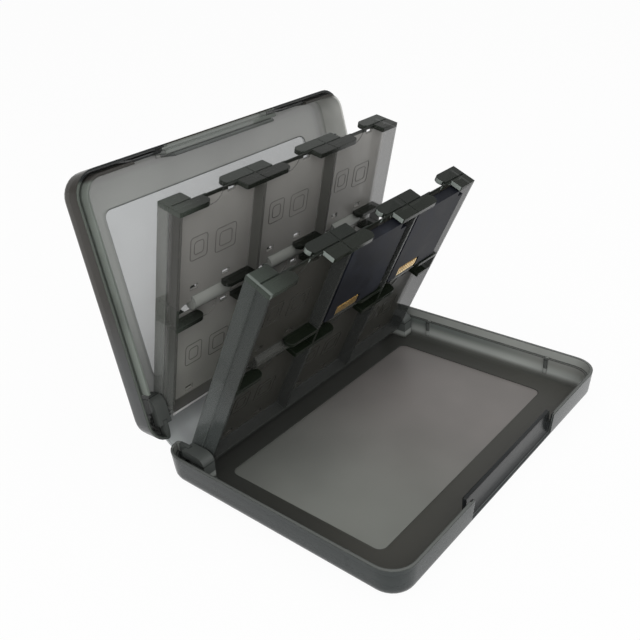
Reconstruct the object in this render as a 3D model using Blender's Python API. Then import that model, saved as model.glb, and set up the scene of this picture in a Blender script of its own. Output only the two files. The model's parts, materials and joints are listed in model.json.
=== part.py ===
"""Game card case, shown open: two shallow shells joined by a spine on film hinges.

Each shell carries one double-sided page of card bays on two stub pins. Metres, +Z up. The base
stands on Z = 0, the hinge runs along X on the +Y side, and every moving piece hangs under an empty
on its own joint axis, turned by the open angles below.
"""

import math

import bmesh
import bpy

# Stored card, which the bays are sized for
CARD_WIDTH = 0.0330
CARD_HEIGHT = 0.0350
CARD_THICKNESS = 0.0038
CARD_CORNER = 0.0012
CARD_NOTCH_WIDTH = 0.0040
CARD_NOTCH_HEIGHT = 0.0030
CARD_LABEL_BORDER = 0.0025
CARD_LABEL_SINK = 0.0002
CARD_FOOT_BORDER = 0.0070
CARD_COLUMNS = (1, 2)
BOARD_WIDTH = 0.0135
BOARD_OFFSET = -0.0040
BOARD_HEIGHT = 0.0050
BOARD_THICKNESS = 0.0006
BOARD_GAP = 0.0003
BOARD_SINK = 0.0010
CONTACT_COUNT = 9
CONTACT_RISE = 0.0002
CONTACT_FILL_SHARE = 0.6
CONTACT_LENGTH_SHARE = 0.7

# Room round a card in its bay
CARD_SIDE_ROOM = 0.0054
CARD_FOOT_GAP = 0.0003
CARD_TOP_GAP = 0.0007
CARD_WEB_GAP = 0.0003
CARD_FACE_GAP = 0.0006

# Card page
PAGE_COLUMNS = 3
PAGE_FOOT = 0.0011
WEB_THICKNESS = 0.0010
WEB_TOP_DROP = 0.0005
RIB_THICKNESS = 0.0012
SHELF_THICKNESS = 0.0015
CAP_THICKNESS = 0.0018
ROW_GAP = 0.0063
LONG_ARM = 0.0140
SHORT_ARM = 0.0092
STUB_ROUND = 0.0006
CAP_GROOVE = 0.0003
FOOT_ARM = 0.0152
BARREL_RADIUS = 0.0028
BARREL_LENGTH = 0.0176
BARREL_DROP = 0.0014
SLOT_WIDTH = 0.0302
SLOT_LIFT = 0.0004
SLOT_TOP_DROP = 0.0034
SLOT_TOP_ROUND = 0.0038
VENT_WIDTH = 0.0037
VENT_HEIGHT = 0.0018
VENT_OFFSET = 0.0078
VENT_OVERSHOOT = 0.0008
VENT_LIFT = 0.0014
RELIEF_RADIUS = 0.0052
RELIEF_SINK = 0.0003
RELIEF_OFFSET = 0.0012
PAGE_BOSS_RADIUS = 0.0026
PAGE_BOSS_WIDTH = 0.0034
PAGE_CORNER_ROUND = 0.0010

# Shell
FLOOR_THICKNESS = 0.0010
PAGE_FLOOR_GAP = 0.0003
PAGE_SIDE_CLEARANCE = 0.0110
PAGE_END_CLEARANCE = 0.0070
RIM_GAP = 0.0003
CORNER_RADIUS = 0.0095
FOOT_ROUND = 0.0040
WALL_DRAFT = 0.0008
WALL_THICKNESS = 0.0021
RIM_THICKNESS = 0.0011
LEDGE_DROP = 0.0035
INNER_ROUND = 0.0028

# Clear window sunk into each floor, from the hinge edge and the side walls
WINDOW_SIDE_BORDER = 0.0155
WINDOW_HINGE_BORDER = 0.0193
WINDOW_FRONT_BORDER = 0.0170
WINDOW_SINK = 0.0002
WINDOW_CORNER = 0.0030

# Hinge side: corner pockets, spine and film hinges
SPINE_INSET = 0.0050
SPINE_THICKNESS = 0.0012
SPINE_END_GAP = 0.0004
SPINE_SHOULDER = 0.0015
FILM_THICKNESS = 0.0006
FILM_GAP = 0.0003
POCKET_SIDE_GAP = 0.0027
POCKET_WALL = 0.0017
POCKET_TIP_ROUND = 0.0012
LUG_START = 0.0064
LUG_END = 0.0172
LUG_PAGE_GAP = 0.0006
LUG_WIDTH = 0.0056
LUG_DROP = 0.0003
LUG_NOSE = 0.0036

# Page pins and their seats
PIN_INSET = 0.0090
PIN_RADIUS = 0.0015
PIN_CLEARANCE = 0.0002
PIN_DEPTH = 0.0028
PIN_END_GAP = 0.0003

# Thumb scoop and closing tongue on the free edge
SCOOP_WIDTH = 0.0570
SCOOP_DEPTH = 0.0024
SCOOP_FLOOR = 0.0031
SCOOP_RISE = 0.0034
SCOOP_BACK_WALL = 0.0014
SCOOP_BACK_EXTRA = 0.0015
TONGUE_GAP = 0.0003
TONGUE_THICKNESS = 0.0012
TONGUE_HEIGHT = 0.0012
TONGUE_SIDE_GAP = 0.0015
LATCH_WIDTH = 0.0130
LATCH_OFFSET = 0.0395
LATCH_THICKNESS = 0.0011
LATCH_HEIGHT = 0.0015
LATCH_WALL_GAP = 0.0004
LATCH_ROOT = 0.0060

# Small upright ribs on the side walls
SIDE_RIB_WIDTH = 0.0014
SIDE_RIB_REACH = 0.0014
SIDE_RIB_HEIGHT = 0.0088
SIDE_RIB_BACK = 0.0250
SIDE_RIB_FRONT = 0.0210

# Open angles in the photographed pose, in degrees
SPINE_OPEN = 32.5
LID_OPEN = 44.25
REAR_PAGE_OPEN = 25.7
FRONT_PAGE_OPEN = 114.9

# Mesh steps and one overrun for every cut
CORNER_STEPS = 8
FOOT_STEPS = 5
ROUND_STEPS = 5
PIN_SIDES = 24
OVERRUN = 0.0010

# Sizes that follow from the card, bay by bay
BAY_WIDTH = CARD_WIDTH + CARD_SIDE_ROOM
BAY_PITCH = BAY_WIDTH + RIB_THICKNESS
BAY_DEPTH = CARD_WEB_GAP + CARD_THICKNESS + CARD_FACE_GAP
ROW_HEIGHT = CARD_FOOT_GAP + CARD_HEIGHT + CARD_TOP_GAP
ROW_PITCH = ROW_HEIGHT + CAP_THICKNESS + ROW_GAP + SHELF_THICKNESS
PAGE_WIDTH = PAGE_COLUMNS * BAY_PITCH + RIB_THICKNESS
PAGE_THICKNESS = 2 * BAY_DEPTH + WEB_THICKNESS
ROW_FEET = (PAGE_FOOT + SHELF_THICKNESS + ROW_PITCH, PAGE_FOOT + SHELF_THICKNESS)
ROW_TOPS = (ROW_FEET[0] + ROW_HEIGHT, ROW_FEET[1] + ROW_HEIGHT)
PAGE_REACH = ROW_TOPS[0] + CAP_THICKNESS
CARD_FOOT = ROW_FEET[0] + CARD_FOOT_GAP

# Closed case: 142 x 102 x 23.7 mm
SHELL_HEIGHT = FLOOR_THICKNESS + PAGE_FLOOR_GAP + PAGE_THICKNESS
HALF_PAGE = PAGE_WIDTH / 2
HALF_THICK = PAGE_THICKNESS / 2
HALF_WEB = WEB_THICKNESS / 2
HALF_WIDTH = HALF_PAGE + PAGE_SIDE_CLEARANCE
HALF_DEPTH = (PIN_INSET + PAGE_REACH + PAGE_END_CLEARANCE) / 2

# Places on the shells and the spine
FILM_HEIGHT = FILM_THICKNESS / 2
HINGE_Y = HALF_DEPTH - SPINE_INSET
FLOOR_END_Y = HINGE_Y - FILM_THICKNESS / 2 - FILM_GAP
SPINE_SPAN = 2 * (SHELL_HEIGHT - FILM_HEIGHT) + RIM_GAP
POCKET_FACE = HALF_PAGE + POCKET_SIDE_GAP
LUG_FACE = HALF_PAGE + LUG_PAGE_GAP
ROLL_RADIUS = (SPINE_SPAN - RIM_GAP) / 2
SPINE_HALF_LENGTH = POCKET_FACE - SPINE_END_GAP
PIN_Y = HALF_DEPTH - PIN_INSET
PIN_Z = FLOOR_THICKNESS + PAGE_FLOOR_GAP + HALF_THICK
LEDGE_Z = SHELL_HEIGHT - LEDGE_DROP
SCOOP_FACE_Y = -HALF_DEPTH + SCOOP_DEPTH
SCOOP_BACK_Y = SCOOP_FACE_Y + SCOOP_BACK_WALL


def clear_scene():
    """Remove every object that the file holds."""
    for old in list(bpy.data.objects):
        bpy.data.objects.remove(old, do_unlink=True)


def make_material(name, color, roughness, metallic=0.0, alpha=1.0):
    """Return a Principled material of one colour."""
    material = bpy.data.materials.new(name)
    material.use_nodes = True
    shader = material.node_tree.nodes["Principled BSDF"]
    shader.inputs["Base Color"].default_value = (*color, 1.0)
    shader.inputs["Roughness"].default_value = roughness
    shader.inputs["Metallic"].default_value = metallic
    shader.inputs["Alpha"].default_value = alpha
    return material


def mesh_object(name, points, faces):
    """Return an object in the scene from points and faces, with its normals pointing out."""
    mesh = bpy.data.meshes.new(name)
    mesh.from_pydata(points, [], faces)
    work = bmesh.new()
    work.from_mesh(mesh)
    bmesh.ops.recalc_face_normals(work, faces=work.faces)
    work.to_mesh(mesh)
    work.free()
    made = bpy.data.objects.new(name, mesh)
    bpy.context.scene.collection.objects.link(made)
    return made


def loft(name, rings):
    """Join rings of equal count into one closed solid with flat ends."""
    count = len(rings[0])
    points = [point for ring in rings for point in ring]
    faces = [tuple(range(count)), tuple(range(len(points) - count, len(points)))]
    for level in range(len(rings) - 1):
        for step in range(count):
            near, far = level * count + step, level * count + (step + 1) % count
            faces.append((near, far, far + count, near + count))
    return mesh_object(name, points, faces)


def prism(name, outline, low, high, axis):
    """Extrude a flat outline along an axis; its two values lie on the other axes in X, Y, Z order."""
    places = {"x": lambda a, b, h: (h, a, b), "y": lambda a, b, h: (a, h, b), "z": lambda a, b, h: (a, b, h)}
    place = places[axis]
    return loft(name, [[place(a, b, height) for a, b in outline] for height in (low, high)])


def block(name, low, high):
    """Return a box between two corners."""
    outline = [(low[0], low[1]), (high[0], low[1]), (high[0], high[1]), (low[0], high[1])]
    return prism(name, outline, low[2], high[2], "z")


def arc(center, radius, start, end, steps):
    """Return points on a circle from one angle in degrees to another."""
    points = []
    for step in range(steps + 1):
        angle = math.radians(start + (end - start) * step / steps)
        points.append((center[0] + radius * math.cos(angle), center[1] + radius * math.sin(angle)))
    return points


def rounded_outline(low, high, radii, steps):
    """Return a rectangle's outline with a radius for each corner, from low left, anticlockwise."""
    corners = [
        (low[0], low[1], 1, 1, 180),
        (high[0], low[1], -1, 1, 270),
        (high[0], high[1], -1, -1, 0),
        (low[0], high[1], 1, -1, 90),
    ]
    outline = []
    for (x, y, side_x, side_y, start), radius in zip(corners, radii):
        if radius > 0:
            center = (x + side_x * radius, y + side_y * radius)
            outline += arc(center, radius, start, start + 90, steps)
        else:
            outline.append((x, y))
    return outline


def rod(name, radius, low, high, center, sides=PIN_SIDES):
    """Return a cylinder along X with its axis at a Y and Z centre."""
    outline = arc(center, radius, 0, 360, sides)[:-1]
    return prism(name, outline, low, high, "x")


def carve(body, tool, operation):
    """Apply one Boolean to a body and remove the tool."""
    modifier = body.modifiers.new(operation.lower(), "BOOLEAN")
    modifier.operation = operation
    modifier.solver = "EXACT"
    modifier.object = tool
    bpy.context.view_layer.update()
    depsgraph = bpy.context.evaluated_depsgraph_get()
    result = bpy.data.meshes.new_from_object(body.evaluated_get(depsgraph))
    body.modifiers.clear()
    old = body.data
    body.data = result
    bpy.data.meshes.remove(old)
    bpy.data.objects.remove(tool, do_unlink=True)


def cut(body, tool):
    """Take a tool's volume away from a body."""
    carve(body, tool, "DIFFERENCE")


def add(body, tool):
    """Fuse a tool's volume with a body."""
    carve(body, tool, "UNION")


def mirrored(maker):
    """Yield what a maker returns for the left and for the right side."""
    for side in (-1, 1):
        yield maker(side)


def span(side, near, far):
    """Return a low and high X for a stretch that lies near to far from the middle."""
    return tuple(sorted((side * near, side * far)))


def draft_at(height):
    """Return how far the outer wall has drawn in at a height above the foot's round."""
    rise = SHELL_HEIGHT - FOOT_ROUND
    return WALL_DRAFT * min(1.0, (SHELL_HEIGHT - height) / rise)


def shell_ring(inset, height):
    """Return the shell's rounded outline, drawn in by an inset, at a height."""
    low = (-HALF_WIDTH + inset, -HALF_DEPTH + inset)
    high = (HALF_WIDTH - inset, HALF_DEPTH - inset)
    outline = rounded_outline(low, high, [CORNER_RADIUS - inset] * 4, CORNER_STEPS)
    return [(x, y, height) for x, y in outline]


def shell_outside(name):
    """Return the shell's solid outside, with its rounded foot and drafted wall."""
    rings = []
    for step in range(FOOT_STEPS + 1):
        angle = math.pi / 2 * step / FOOT_STEPS
        inset = WALL_DRAFT + FOOT_ROUND * (1 - math.sin(angle))
        rings.append(shell_ring(inset, FOOT_ROUND * (1 - math.cos(angle))))
    rings.append(shell_ring(0, SHELL_HEIGHT))
    return loft(name, rings)


def shell_cavity(name):
    """Return the hollow: rounded floor edge, low wall, ledge, then the thin rim wall."""
    rings = []
    for step in range(FOOT_STEPS + 1):
        angle = math.pi / 2 * step / FOOT_STEPS
        height = FLOOR_THICKNESS + INNER_ROUND * (1 - math.cos(angle))
        inset = WALL_THICKNESS + draft_at(height) + INNER_ROUND * (1 - math.sin(angle))
        rings.append(shell_ring(inset, height))
    rings.append(shell_ring(WALL_THICKNESS + draft_at(LEDGE_Z), LEDGE_Z))
    rings.append(shell_ring(RIM_THICKNESS + draft_at(LEDGE_Z), LEDGE_Z))
    rings.append(shell_ring(RIM_THICKNESS, SHELL_HEIGHT))
    rings.append(shell_ring(RIM_THICKNESS, SHELL_HEIGHT + OVERRUN))
    return loft(name, rings)


def pocket_wall(side):
    """Return a corner pocket's inner wall, which closes the rim's turn behind the lug."""
    low, high = span(side, POCKET_FACE, POCKET_FACE + POCKET_WALL)
    front = HALF_DEPTH - LUG_START - POCKET_WALL
    wall = block("pocket_wall", (low, front, FLOOR_THICKNESS / 2), (high, HALF_DEPTH, SHELL_HEIGHT))
    carve(wall, shell_outside("outside"), "INTERSECT")
    return wall


def pin_lug(side):
    """Return the block beside a page's end that holds its stub pin, with a rounded front top."""
    front, back = HALF_DEPTH - LUG_END, HALF_DEPTH - LUG_START
    top = SHELL_HEIGHT - LUG_DROP
    outline = [(back, FLOOR_THICKNESS / 2), (back, top)]
    outline += arc((front + LUG_NOSE, top - LUG_NOSE), LUG_NOSE, 90, 180, ROUND_STEPS)
    outline.append((front, FLOOR_THICKNESS / 2))
    low, high = span(side, LUG_FACE, LUG_FACE + LUG_WIDTH)
    return prism("pin_lug", outline, low, high, "x")


def pin_bore(side):
    """Return the hole for a stub pin right through its lug."""
    low, high = span(side, HALF_PAGE, LUG_FACE + LUG_WIDTH + OVERRUN)
    return rod("pin_bore", PIN_RADIUS + PIN_CLEARANCE, low, high, (PIN_Y, PIN_Z))


def roll_relief(side):
    """Return what lies outside the roll circle behind the hinge, where the shells' corners pass."""
    outline = []
    for step in range(2 * ROUND_STEPS + 1):
        angle = math.pi / 2 * (1 - step / (2 * ROUND_STEPS))
        outline.append((HINGE_Y + ROLL_RADIUS * math.cos(angle), FILM_HEIGHT + ROLL_RADIUS * math.sin(angle)))
    outline += [(HINGE_Y + ROLL_RADIUS, SHELL_HEIGHT + OVERRUN), (HINGE_Y, SHELL_HEIGHT + OVERRUN)]
    low, high = span(side, POCKET_FACE - OVERRUN, HALF_WIDTH + OVERRUN)
    return prism("roll_relief", outline, low, high, "x")


def pocket_tip(side):
    """Return the sliver outside the round on a pocket's rear inner edge."""
    back = HALF_DEPTH + OVERRUN
    inner = side * (POCKET_FACE - OVERRUN)
    face = side * POCKET_FACE
    rim_y = HALF_DEPTH
    center = (side * (POCKET_FACE + POCKET_TIP_ROUND), rim_y - POCKET_TIP_ROUND)
    start = 180 if side > 0 else 0
    outline = arc(center, POCKET_TIP_ROUND, start, 90, ROUND_STEPS)
    outline += [(center[0], back), (inner, back), (inner, center[1]), (face, center[1])]
    return prism("pocket_tip", outline[:-1], -OVERRUN, SHELL_HEIGHT + OVERRUN, "z")


def side_rib(side, place):
    """Return one upright rib on a side wall."""
    wall_x = HALF_WIDTH - WALL_THICKNESS - draft_at(LEDGE_Z)
    low, high = span(side, wall_x - SIDE_RIB_REACH, wall_x + RIM_THICKNESS / 2)
    front = place - SIDE_RIB_WIDTH / 2
    foot = (low, front, FLOOR_THICKNESS / 2)
    rib = block("side_rib", foot, (high, front + SIDE_RIB_WIDTH, SIDE_RIB_HEIGHT))
    carve(rib, shell_outside("outside"), "INTERSECT")
    return rib


def window_cut():
    """Return the shallow rounded panel that is sunk into the floor's inner face."""
    low = (-HALF_WIDTH + WINDOW_SIDE_BORDER, -HALF_DEPTH + WINDOW_FRONT_BORDER)
    high = (HALF_WIDTH - WINDOW_SIDE_BORDER, HALF_DEPTH - WINDOW_HINGE_BORDER)
    outline = rounded_outline(low, high, [WINDOW_CORNER] * 4, ROUND_STEPS)
    return prism("window", outline, FLOOR_THICKNESS - WINDOW_SINK, FLOOR_THICKNESS + OVERRUN, "z")


def scoop_wall():
    """Return the wall that closes the case behind the thumb scoop."""
    half = SCOOP_WIDTH / 2 + SCOOP_BACK_EXTRA
    low = (-half, SCOOP_FACE_Y, FLOOR_THICKNESS / 2)
    return block("scoop_wall", low, (half, SCOOP_BACK_Y, SHELL_HEIGHT))


def scoop_cut():
    """Return the hollow outside the free edge, with a round run-out below."""
    outline = [(-HALF_DEPTH - OVERRUN, SHELL_HEIGHT + OVERRUN), (-HALF_DEPTH - OVERRUN, SCOOP_FLOOR)]
    for step in range(ROUND_STEPS + 1):
        angle = math.pi / 2 * step / ROUND_STEPS
        y = -HALF_DEPTH + SCOOP_DEPTH * math.sin(angle)
        outline.append((y, SCOOP_FLOOR + SCOOP_RISE * (1 - math.cos(angle))))
    outline.append((SCOOP_FACE_Y, SHELL_HEIGHT + OVERRUN))
    return prism("scoop", outline, -SCOOP_WIDTH / 2, SCOOP_WIDTH / 2, "x")


def closing_tongue():
    """Return the lid's tongue, which drops behind the base's scoop wall."""
    half = SCOOP_WIDTH / 2 - TONGUE_SIDE_GAP
    front = SCOOP_BACK_Y + TONGUE_GAP
    back = front + TONGUE_THICKNESS
    top = SHELL_HEIGHT + TONGUE_HEIGHT
    chamfer = TONGUE_THICKNESS / 2
    root = SHELL_HEIGHT - RIM_GAP
    outline = [(SCOOP_BACK_Y - TONGUE_GAP, FLOOR_THICKNESS / 2), (back, FLOOR_THICKNESS / 2), (back, top)]
    outline += [(front + chamfer, top), (front, top - chamfer), (front, root), (SCOOP_BACK_Y - TONGUE_GAP, root)]
    return prism("tongue", outline, -half, half, "x")


def lid_latch(side):
    """Return one snap tab beside the tongue, standing inside the rim."""
    low, high = span(side, LATCH_OFFSET - LATCH_WIDTH / 2, LATCH_OFFSET + LATCH_WIDTH / 2)
    front = -HALF_DEPTH + RIM_THICKNESS + LATCH_WALL_GAP
    back = front + LATCH_THICKNESS
    top = SHELL_HEIGHT + LATCH_HEIGHT
    chamfer = LATCH_THICKNESS / 2
    outline = [(front, LATCH_ROOT), (back, LATCH_ROOT - LATCH_THICKNESS), (back, top - chamfer)]
    outline += [(back - chamfer, top), (front, top)]
    return prism("latch", outline, low, high, "x")


def make_shell(name, with_tongue):
    """Return one shell with its floor down and its hinge side at +Y."""
    shell = shell_outside(name)
    cut(shell, shell_cavity("cavity"))
    for wall in mirrored(pocket_wall):
        add(shell, wall)
    for lug in mirrored(pin_lug):
        add(shell, lug)
    for place in (HALF_DEPTH - SIDE_RIB_BACK, -HALF_DEPTH + SIDE_RIB_FRONT):
        for rib in mirrored(lambda side: side_rib(side, place)):
            add(shell, rib)
    add(shell, scoop_wall())
    if with_tongue:
        add(shell, closing_tongue())
        for latch in mirrored(lid_latch):
            add(shell, latch)
    cut(shell, scoop_cut())
    gap_low = (-POCKET_FACE, FLOOR_END_Y, -OVERRUN)
    gap_high = (POCKET_FACE, HALF_DEPTH + OVERRUN, SHELL_HEIGHT + OVERRUN)
    cut(shell, block("hinge_gap", gap_low, gap_high))
    cut(shell, window_cut())
    for bore in mirrored(pin_bore):
        cut(shell, bore)
    for tip in mirrored(pocket_tip):
        cut(shell, tip)
    for relief in mirrored(roll_relief):
        cut(shell, relief)
    return shell


def make_spine(name):
    """Return the spine panel: a flat outer face and a film lip with a round edge on each axis."""
    top = SPINE_THICKNESS - FILM_HEIGHT
    ramp = top - FILM_HEIGHT
    outline = arc((0.0, 0.0), FILM_HEIGHT, 90, 270, ROUND_STEPS)
    outline += arc((SPINE_SPAN, 0.0), FILM_HEIGHT, 270, 450, ROUND_STEPS)
    outline += [(SPINE_SPAN - SPINE_SHOULDER, FILM_HEIGHT), (SPINE_SPAN - SPINE_SHOULDER - ramp, top)]
    outline += [(SPINE_SHOULDER + ramp, top), (SPINE_SHOULDER, FILM_HEIGHT)]
    return prism(name, outline, -SPINE_HALF_LENGTH, SPINE_HALF_LENGTH, "x")


def bay_center(column):
    """Return a bay's middle across the page."""
    return (column - (PAGE_COLUMNS - 1) / 2) * BAY_PITCH


def face_span(face, near, far):
    """Return a low and high depth for a stretch that lies near to far out from the page's middle."""
    return tuple(sorted((face * near, face * far)))


def column_cut(column, face):
    """Return one column of bays on one face, open from the foot shelf to the page's top."""
    center = bay_center(column)
    low = (center - BAY_WIDTH / 2, ROW_FEET[-1])
    high = (center + BAY_WIDTH / 2, PAGE_REACH + OVERRUN)
    outline = rounded_outline(low, high, [0, 0, 0, 0], 1)
    return prism("column", outline, *face_span(face, HALF_WEB, HALF_THICK + OVERRUN), "z")


def arm(rib, side, face, reach, base, thickness):
    """Return a flat arm that leaves a rib sideways, with a round end and one side on the web."""
    near, far = face * HALF_WEB / 2, face * HALF_THICK
    middle, radius = (near + far) / 2, abs(far - near) / 2
    tip = rib + side * (reach - radius)
    outline = [(rib, near), (tip, near)]
    for step in range(1, 2 * ROUND_STEPS):
        angle = math.pi * step / (2 * ROUND_STEPS)
        outline.append((tip + side * radius * math.sin(angle), middle - face * radius * math.cos(angle)))
    outline += [(tip, far), (rib, far)]
    return prism("arm", outline, base, base + thickness, "y")


def stub(rib, side, face, reach, base, thickness):
    """Return a flat arm with a square end, whose outer corner has a small round."""
    near, far = face * HALF_WEB / 2, face * HALF_THICK
    tip = rib + side * reach
    outline = [(rib, near), (tip, near)]
    for step in range(ROUND_STEPS + 1):
        angle = math.pi / 2 * step / ROUND_STEPS
        across = tip - side * STUB_ROUND * (1 - math.cos(angle))
        outline.append((across, far - face * STUB_ROUND * (1 - math.sin(angle))))
    outline.append((rib, far))
    return prism("stub", outline, base, base + thickness, "y")


def cap_arms(ribs, row, face):
    """Return a row's cap arms on one face: long ones lead one way, short ones the other."""
    arms = []
    for side, roots in ((1, ribs[:-1]), (-1, ribs[1:])):
        make, reach = (arm, LONG_ARM) if side == face else (stub, SHORT_ARM)
        for rib in roots:
            arms.append(make(rib, side, face, reach, ROW_TOPS[row], CAP_THICKNESS))
    return arms


def cap_groove(rib):
    """Return the fine groove across the caps over a rib, where the mould's halves meet."""
    low = (rib - CAP_GROOVE / 2, PAGE_REACH - CAP_GROOVE, -HALF_THICK - OVERRUN)
    return block("cap_groove", low, (rib + CAP_GROOVE / 2, PAGE_REACH + OVERRUN, HALF_THICK + OVERRUN))


def foot_arm(ribs, column, face):
    """Return the arm under an upper bay that a card's foot stands on, at one end of the bay."""
    rib = ribs[column + 1] if face > 0 else ribs[column]
    return arm(rib, -face, face, FOOT_ARM, ROW_FEET[0] - SHELF_THICKNESS, SHELF_THICKNESS)


def row_slot(column):
    """Return the opening in the web between the rows, with round upper corners."""
    half = SLOT_WIDTH / 2
    center = bay_center(column)
    low = (center - half, ROW_TOPS[-1] + CAP_THICKNESS + SLOT_LIFT)
    high = (center + half, ROW_FEET[0] - SLOT_TOP_DROP)
    outline = rounded_outline(low, high, [0, 0, SLOT_TOP_ROUND, SLOT_TOP_ROUND], ROUND_STEPS)
    return prism("row_slot", outline, -HALF_WEB - OVERRUN, HALF_WEB + OVERRUN, "z")


def barrel(column):
    """Return the round bar that bridges the web's opening between the rows."""
    center = bay_center(column)
    low, high = center - BARREL_LENGTH / 2, center + BARREL_LENGTH / 2
    return rod("barrel", BARREL_RADIUS, low, high, (ROW_FEET[0] - BARREL_DROP - BARREL_RADIUS, 0.0))


def vent_cut(column, low_edge, side):
    """Return one square hole in the web, beside a bay's middle."""
    center = bay_center(column) + side * VENT_OFFSET
    low = (center - VENT_WIDTH / 2, low_edge, -HALF_WEB - OVERRUN)
    return block("vent", low, (center + VENT_WIDTH / 2, low_edge + VENT_HEIGHT, HALF_WEB + OVERRUN))


def thumb_relief(column, row, face):
    """Return the shallow half-round in the web's face at the top of a bay."""
    center = bay_center(column) - face * RELIEF_OFFSET
    top = ROW_TOPS[row] + CAP_THICKNESS
    outline = arc((center, top), RELIEF_RADIUS, 180, 360, 2 * ROUND_STEPS)
    depth = face_span(face, HALF_WEB - RELIEF_SINK, HALF_WEB + OVERRUN)
    return prism("thumb_relief", outline, *depth, "z")


def page_boss(side):
    """Return the ear at a page's lower corner, round about the pin's axis."""
    outline = arc((0.0, 0.0), PAGE_BOSS_RADIUS, 180, 360, 2 * ROUND_STEPS)
    top = PAGE_FOOT + SHELF_THICKNESS / 2
    outline += [(PAGE_BOSS_RADIUS, top), (-PAGE_BOSS_RADIUS, top)]
    low, high = span(side, HALF_PAGE - PAGE_BOSS_WIDTH, HALF_PAGE)
    turned = [(across, along) for along, across in outline]
    return prism("page_boss", turned, low, high, "x")


def boss_bore(side):
    """Return the blind hole for a stub pin in the page's end."""
    low, high = span(side, HALF_PAGE - PIN_DEPTH - PIN_END_GAP, HALF_PAGE + OVERRUN)
    return rod("boss_bore", PIN_RADIUS + PIN_CLEARANCE, low, high, (0.0, 0.0))


def make_page(name):
    """Return one page on its pin axis: +Y runs to its caps and +Z out of its front."""
    low, high = (-HALF_PAGE, PAGE_FOOT), (HALF_PAGE, PAGE_REACH)
    outline = rounded_outline(low, high, [PAGE_CORNER_ROUND] * 2 + [0, 0], ROUND_STEPS)
    page = prism(name, outline, -HALF_THICK, HALF_THICK, "z")
    ribs = [bay_center(column) - BAY_PITCH / 2 for column in range(PAGE_COLUMNS + 1)]
    for column in range(PAGE_COLUMNS):
        for face in (-1, 1):
            cut(page, column_cut(column, face))
            for row in range(len(ROW_TOPS)):
                cut(page, thumb_relief(column, row, face))
            for top in ROW_TOPS:
                cut(page, vent_cut(column, top + VENT_OVERSHOOT - VENT_HEIGHT, -face))
            for foot in ROW_FEET:
                cut(page, vent_cut(column, foot + VENT_LIFT, face))
        cut(page, row_slot(column))
        add(page, barrel(column))
        center = bay_center(column)
        edge_low = (center - BAY_WIDTH / 2, PAGE_REACH - WEB_TOP_DROP, -HALF_THICK)
        edge_high = (center + BAY_WIDTH / 2, PAGE_REACH + OVERRUN, HALF_THICK)
        cut(page, block("web_top", edge_low, edge_high))
    for face in (-1, 1):
        for row in range(len(ROW_TOPS)):
            for piece in cap_arms(ribs, row, face):
                add(page, piece)
        for column in range(PAGE_COLUMNS):
            add(page, foot_arm(ribs, column, face))
    for rib in ribs[1:-1]:
        cut(page, cap_groove(rib))
    for boss in mirrored(page_boss):
        add(page, boss)
    for bore in mirrored(boss_bore):
        cut(page, bore)
    return page


def make_pin(name, side):
    """Return one stub pin, which bridges a page's end and its lug on the page's axis."""
    low, high = span(side, HALF_PAGE - PIN_DEPTH, LUG_FACE + PIN_DEPTH)
    return rod(name, PIN_RADIUS, low, high, (0.0, 0.0))


def make_card(name):
    """Return a stored card: its foot at Y = 0, its back at Z = 0, its middle at X = 0."""
    half = CARD_WIDTH / 2
    outline = rounded_outline((-half, 0), (half, CARD_HEIGHT), [CARD_CORNER] * 2 + [0, CARD_CORNER], ROUND_STEPS)
    card = prism(name, outline, 0, CARD_THICKNESS, "z")
    notch_low = (half - CARD_NOTCH_WIDTH, CARD_HEIGHT - CARD_NOTCH_HEIGHT, -OVERRUN)
    cut(card, block("notch", notch_low, (half + OVERRUN, CARD_HEIGHT + OVERRUN, CARD_THICKNESS + OVERRUN)))
    low = (-half + CARD_LABEL_BORDER, CARD_FOOT_BORDER)
    high = (half - CARD_LABEL_BORDER, CARD_HEIGHT - CARD_LABEL_BORDER - CARD_NOTCH_HEIGHT / 2)
    label = rounded_outline(low, high, [CARD_CORNER] * 4, ROUND_STEPS)
    cut(card, prism("label", label, -OVERRUN, CARD_LABEL_SINK, "z"))
    seat_half = BOARD_WIDTH / 2 + BOARD_GAP
    depth = CARD_THICKNESS - BOARD_SINK - BOARD_GAP
    seat_high = (BOARD_OFFSET + seat_half, BOARD_HEIGHT + BOARD_GAP, CARD_THICKNESS + OVERRUN)
    cut(card, block("board_seat", (BOARD_OFFSET - seat_half, -OVERRUN, depth), seat_high))
    return card


def make_board(name):
    """Return a card's contact board with its row of raised contacts."""
    start = BOARD_OFFSET - BOARD_WIDTH / 2
    back = CARD_THICKNESS - BOARD_SINK
    front = back + BOARD_THICKNESS
    board = block(name, (start, BOARD_GAP, back), (start + BOARD_WIDTH, BOARD_HEIGHT, front))
    pitch = BOARD_WIDTH / CONTACT_COUNT
    inset = BOARD_HEIGHT * (1 - CONTACT_LENGTH_SHARE) / 2
    for number in range(CONTACT_COUNT):
        center = start + pitch * (number + 1 / 2)
        reach = pitch * CONTACT_FILL_SHARE / 2
        low = (center - reach, BOARD_GAP + inset, front - BOARD_THICKNESS / 2)
        add(board, block("contact", low, (center + reach, BOARD_HEIGHT - inset, front + CONTACT_RISE)))
    return board


def empty(name, parent, location, turn):
    """Return an empty on a joint axis, turned about X by an angle in degrees."""
    made = bpy.data.objects.new(name, None)
    bpy.context.scene.collection.objects.link(made)
    made.parent = parent
    made.location = location
    made.rotation_euler = (math.radians(turn), 0.0, 0.0)
    return made


def place(piece, parent, material, location=(0.0, 0.0, 0.0), turn_z=0.0):
    """Hang a piece under an empty and give it its material."""
    piece.parent = parent
    piece.location = location
    piece.rotation_euler = (0.0, 0.0, math.radians(turn_z))
    piece.data.materials.clear()
    piece.data.materials.append(material)
    piece.data.shade_smooth()
    piece.data.set_sharp_from_angle(angle=math.radians(30.0))


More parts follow.
